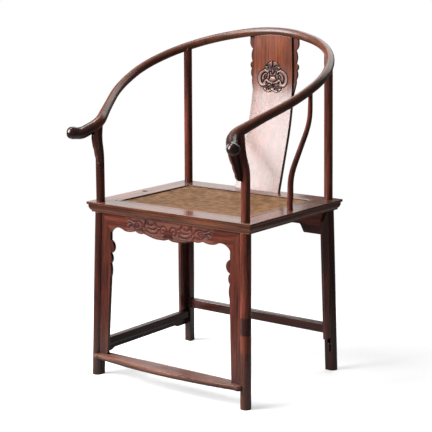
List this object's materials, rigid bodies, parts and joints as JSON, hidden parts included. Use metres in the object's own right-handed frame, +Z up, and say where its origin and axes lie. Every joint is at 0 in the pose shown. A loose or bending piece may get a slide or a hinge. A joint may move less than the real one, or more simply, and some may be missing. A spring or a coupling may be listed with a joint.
{
  "type": "horseshoe back armchair",
  "caption": "Horseshoe-back armchair with a swept crest rail, bent carved splat, cane seat, lobed apron and stepped stretchers.",
  "frame": {"origin": "on the floor, under the middle of the seat frame", "axes": "+X across the chair to the right as seen from its front, +Y from front to back, +Z up"},
  "size_m": [0.6818, 0.6369, 1.0148],
  "materials": {
    "frame_wood": "polished dark hardwood",
    "crest_wood": "polished dark hardwood",
    "pin_wood": "polished dark hardwood",
    "splat_wood": "polished hardwood",
    "carved_wood": "carved and polished dark hardwood",
    "worn_wood": "worn hardwood",
    "batten_wood": "unpolished hardwood",
    "woven_cane": "woven cane"
  },
  "bodies": {
    "root": {"front_left_leg": "frame_wood", "front_right_leg": "frame_wood", "rear_left_leg": "frame_wood", "rear_right_leg": "frame_wood", "seat_front_rail": "frame_wood", "seat_back_rail": "frame_wood", "seat_left_rail": "frame_wood", "seat_right_rail": "frame_wood", "right_side_post": "frame_wood", "left_arm_bracket": "frame_wood", "right_arm_bracket": "frame_wood", "left_apron": "frame_wood", "left_front_stile": "frame_wood", "left_rear_stile": "frame_wood", "right_rear_stile": "frame_wood", "rear_apron": "frame_wood", "left_stretcher": "frame_wood", "left_stretcher_apron": "frame_wood", "back_stretcher": "frame_wood", "front_left_stile": "frame_wood", "front_right_stile": "frame_wood", "front_press_strip": "frame_wood", "back_press_strip": "frame_wood", "left_press_strip": "frame_wood", "right_press_strip": "frame_wood", "crest_back": "crest_wood", "crest_left_shoulder": "crest_wood", "crest_right_shoulder": "crest_wood", "left_arm": "crest_wood", "right_arm": "crest_wood", "crest_wedge_pins": "pin_wood", "splat": "splat_wood", "splat_left_flange": "splat_wood", "splat_right_flange": "splat_wood", "front_apron": "carved_wood", "footrest": "worn_wood", "left_seat_batten": "batten_wood", "right_seat_batten": "batten_wood", "cane_panel": "woven_cane"}
  },
  "joints": []
}
